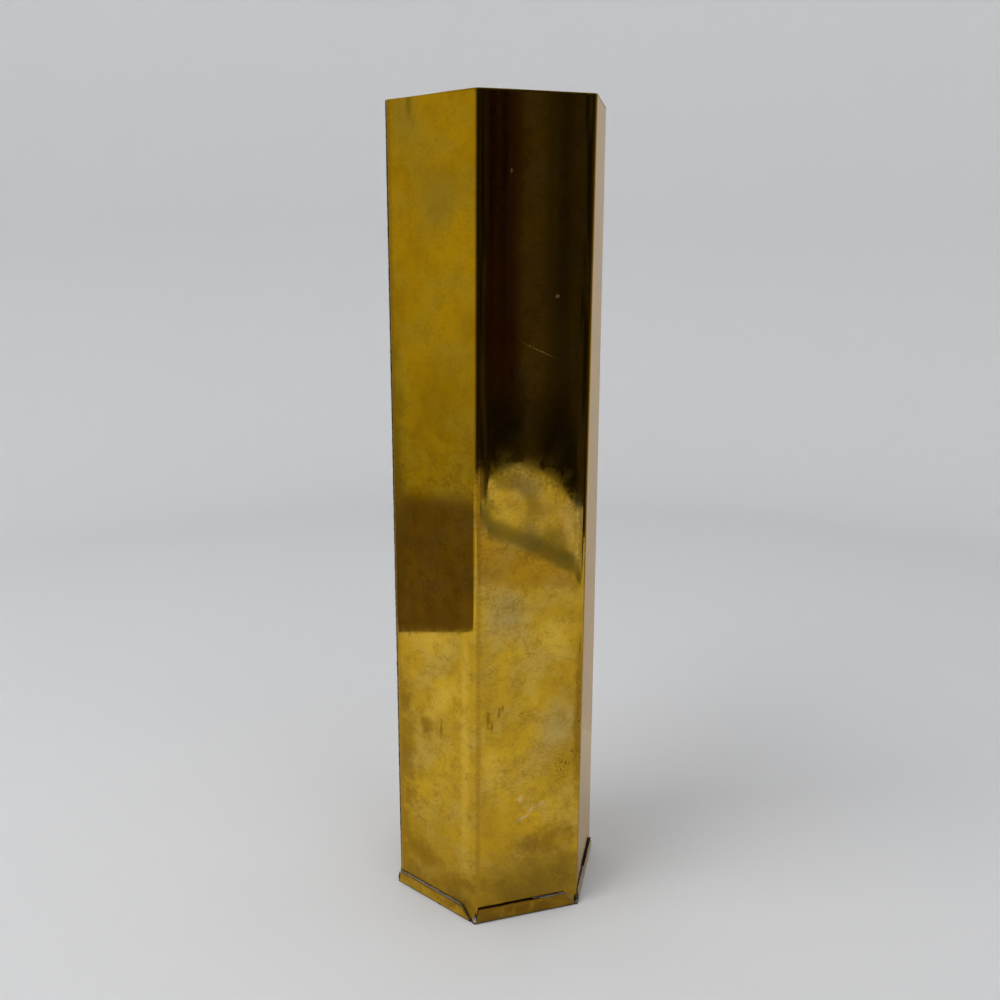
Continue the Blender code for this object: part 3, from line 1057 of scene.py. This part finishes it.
class DomeShade(Shade):
    """The glow on the dome that the brass reflects, painted from turns about the stand and from heights.

    A turn of none is towards the camera, and turns grow to the camera's right.
    """

    def __init__(self, name):
        super().__init__(name)
        self.height = self.part("Z")
        towards_camera = self.times(self.part("Y"), -1.0)
        self.turn = self.math("ARCTAN2", self.part("X"), towards_camera)
        lean = self.times(self.height, TWIST_LEAN)
        self.upright = self.math("SUBTRACT", self.math("DEGREES", self.turn), lean)
        lines = self.node("ShaderNodeCombineXYZ")
        self.feed(lines.inputs["X"], self.upright)
        self.feed(lines.inputs["Y"], self.height)
        self.lines = lines.outputs[0]

    def pattern(self, scale, detail, roughness, distortion=0.0):
        """Noise that follows the uprights, stretched to a scale across and up."""
        return self.noise(1.0, detail, roughness, self.stretched(self.lines, scale), distortion)

    def panel(self, turns, low, high, soft_up, up=None):
        """How strongly a panel shows.

        It rises over the first two turns and falls over the last two, and its low and high edges are soft.
        """
        up = self.height if up is None else up
        rise_start, rise_end, fall_start, fall_end = (math.radians(value) for value in turns)
        inside = self.between(self.turn, rise_start, rise_end)
        inside = self.times(inside, self.between(self.turn, fall_start, fall_end, 1.0, 0.0))
        inside = self.times(inside, self.between(up, low, low + soft_up))
        return self.times(inside, self.between(up, high - soft_up, high, 1.0, 0.0))

    def band(self, start, end, soft=0.25):
        rise = self.between(self.upright, start - soft, start + soft)
        return self.times(rise, self.between(self.upright, end - soft, end + soft, 1.0, 0.0))

    def dark_room(self):
        """Shadows with a curtain, a plain strip and pleats standing in them, before the camera."""
        shadows = self.pattern((0.45, 2.4, 1.0), 3.0, 0.55, 0.5)
        stripes = self.pattern((5.0, 0.5, 1.0), 2.0, 0.5)
        color = self.mix(self.between(shadows, 0.40, 0.62), SHADOW_DARK, SHADOW_PALE)
        curtain = self.mix(self.between(stripes, 0.42, 0.60), CURTAIN_DARK, CURTAIN_PALE)
        pleats = self.mix(self.between(stripes, 0.42, 0.58), PLEAT_DARK, PLEAT_PALE)
        above = self.between(self.math("ADD", self.height, self.times(shadows, 0.5)), 0.05, 0.25)
        color = self.mix(self.times(self.band(36.2, 39.8), above), color, curtain)
        color = self.mix(self.times(self.band(39.8, 41.5), above), color, STRIP_TONE)
        return self.mix(self.times(self.band(41.5, 44.1), above), color, pleats)

    def side_panels(self, color):
        """The paler room to the right, the wooden floor and warm wall to the left, and a strip between."""
        color = self.mix(self.panel((75, 100, 160, 178), -2.5, 1.8, 0.3), color, RIGHT_TONE)
        color = self.mix(self.panel((-122, -112, -64, -20), -2.5, 1.6, 0.1), color, LEFT_FLOOR_TONE)
        left_wall = self.mix(self.between(self.height, -0.40, 0.30), LEFT_WALL_LOW, LEFT_WALL_HIGH)
        color = self.mix(self.panel((-122, -112, -76, -12), -0.45, 1.8, 0.08), color, left_wall)
        return self.mix(self.panel((-76, -58, 31.5, 37), -2.5, -0.30, 0.06), color, FOLD_TONE)

    def cloth(self, color):
        """A pale heap before the camera, dark under its slanting lower edge, with a light zone below."""
        off_middle = self.math("DIVIDE", self.math("SUBTRACT", self.upright, 40.2), 3.0)
        drop = self.times(self.math("MINIMUM", self.times(off_middle, off_middle), 1.3), 0.10)
        mound = self.math("ADD", self.height, drop)
        slope = self.math("ADD", self.height, self.times(self.upright, 0.0173))
        creases = self.pattern((0.5, 9.0, 1.0), 3.0, 0.5, 0.8)
        heap = self.mix(self.between(creases, 0.38, 0.62), CLOTH_DARK, CLOTH_PALE)
        under = self.times(self.between(slope, 0.085, 0.110), self.between(slope, 0.145, 0.180, 1.0, 0.0))
        heap = self.mix(self.times(under, 0.75), heap, CLOTH_SHADOW)
        heap = self.mix(self.between(slope, 0.080, 0.100, 1.0, 0.0), heap, BELOW_CLOTH)
        return self.mix(self.panel((26, 34, 47, 51), -2.5, -0.29, 0.025, mound), color, heap)


def add_dome():
    """What the brass reflects beyond the board, on a dome that only reflections see."""
    bm = bmesh.new()
    bmesh.ops.create_icosphere(bm, subdivisions=5, radius=DOME_RADIUS)
    s = DomeShade("dome_glow")
    color = s.cloth(s.side_panels(s.dark_room()))
    color = s.mix(s.between(s.height, 1.25, 2.4), color, CEILING_TONE)
    dome = stage_mesh("dome", bm, glow(s, color, 1.0), ("glossy",))
    dome.rotation_euler.z = math.radians(VIEW_TURN)


def add_light(name, place, aim, size, power):
    data = bpy.data.lights.new(name, "AREA")
    data.shape = "DISK"
    data.size = size
    data.energy = power
    light = bpy.data.objects.new(name, data)
    light.location = turned(*place)
    light.rotation_mode = "QUATERNION"
    light.rotation_quaternion = (light.location - Vector(aim)).to_track_quat("Z", "Y")
    light.visible_glossy = False
    light.visible_camera = False
    bpy.context.scene.collection.objects.link(light)


def add_world():
    world = bpy.data.worlds.new("soft_studio")
    world.use_nodes = True
    background = world.node_tree.nodes["Background"]
    background.inputs["Color"].default_value = (0.92, 0.95, 1.0, 1.0)
    background.inputs["Strength"].default_value = 0.62
    world.cycles_visibility.glossy = False
    bpy.context.scene.world = world


def add_camera():
    data = bpy.data.cameras.new("camera")
    data.sensor_width = SENSOR
    data.lens = VIEW_LENS
    camera = bpy.data.objects.new("camera", data)
    turn = Matrix.Rotation(math.radians(VIEW_TURN + VIEW_AIM), 4, "Z")
    tilt = Matrix.Rotation(math.radians(90 + VIEW_PITCH), 4, "X")
    roll = Matrix.Rotation(math.radians(VIEW_ROLL), 4, "Z")
    place = Matrix.Translation(turned(0, -VIEW_DISTANCE, VIEW_HEIGHT))
    camera.matrix_world = place @ turn @ tilt @ roll
    bpy.context.scene.collection.objects.link(camera)
    bpy.context.scene.camera = camera


def add_studio():
    add_camera()
    add_world()
    add_room()
    add_board()
    add_dome()
    add_wall()
    add_light("key", place=(-1.1, -0.7, 1.9), aim=(0, 0, 0.2), size=1.3, power=18.5)
    add_light("fill", place=(0.9, -1.2, 1.6), aim=(0, 0, 0.2), size=1.4, power=5)
    bpy.context.scene.view_settings.view_transform = "Standard"


# ---------------------------------------------------------------- assembly


def fit(piece, node, slot, *materials):
    """Puts a finished piece in its CAD node's place."""
    for material in materials:
        piece.data.materials.append(material)
    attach(piece, "root")
    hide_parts(node)


def build():
    add_studio()
    brass = aged_brass()
    inside = dull_brass()
    solder, dark_solder, stained_solder = (soft_solder(name, *look) for name, look in SOLDERS.items())
    fit(front_body(), "front_body_sheet", "brass_body", brass, inside)
    fit(rear_body(), "rear_body_sheet", "brass_body", brass, inside)
    fit(tray(), "base_tray", "brass_tray", tray_brass(), inside)
    fit(seam_bead("right_seam_bead", "right_rear", -1), "seam_solder_right", "solder", stained_solder)
    fit(seam_bead("left_seam_bead", "left_rear", 1), "seam_solder_left", "solder", stained_solder)
    for name in SIDES:
        tab_metal = dark_solder if name in SMOKED_BEADS else solder
        fit(tab_bead(name), f"tab_solder_{name}", "solder", tab_metal)
    for name in CORNERS:
        corner_metal = dark_solder if name in SMOKED_CORNERS else solder
        fit(corner_drop(name), f"corner_solder_{name}", "solder", corner_metal)


build()
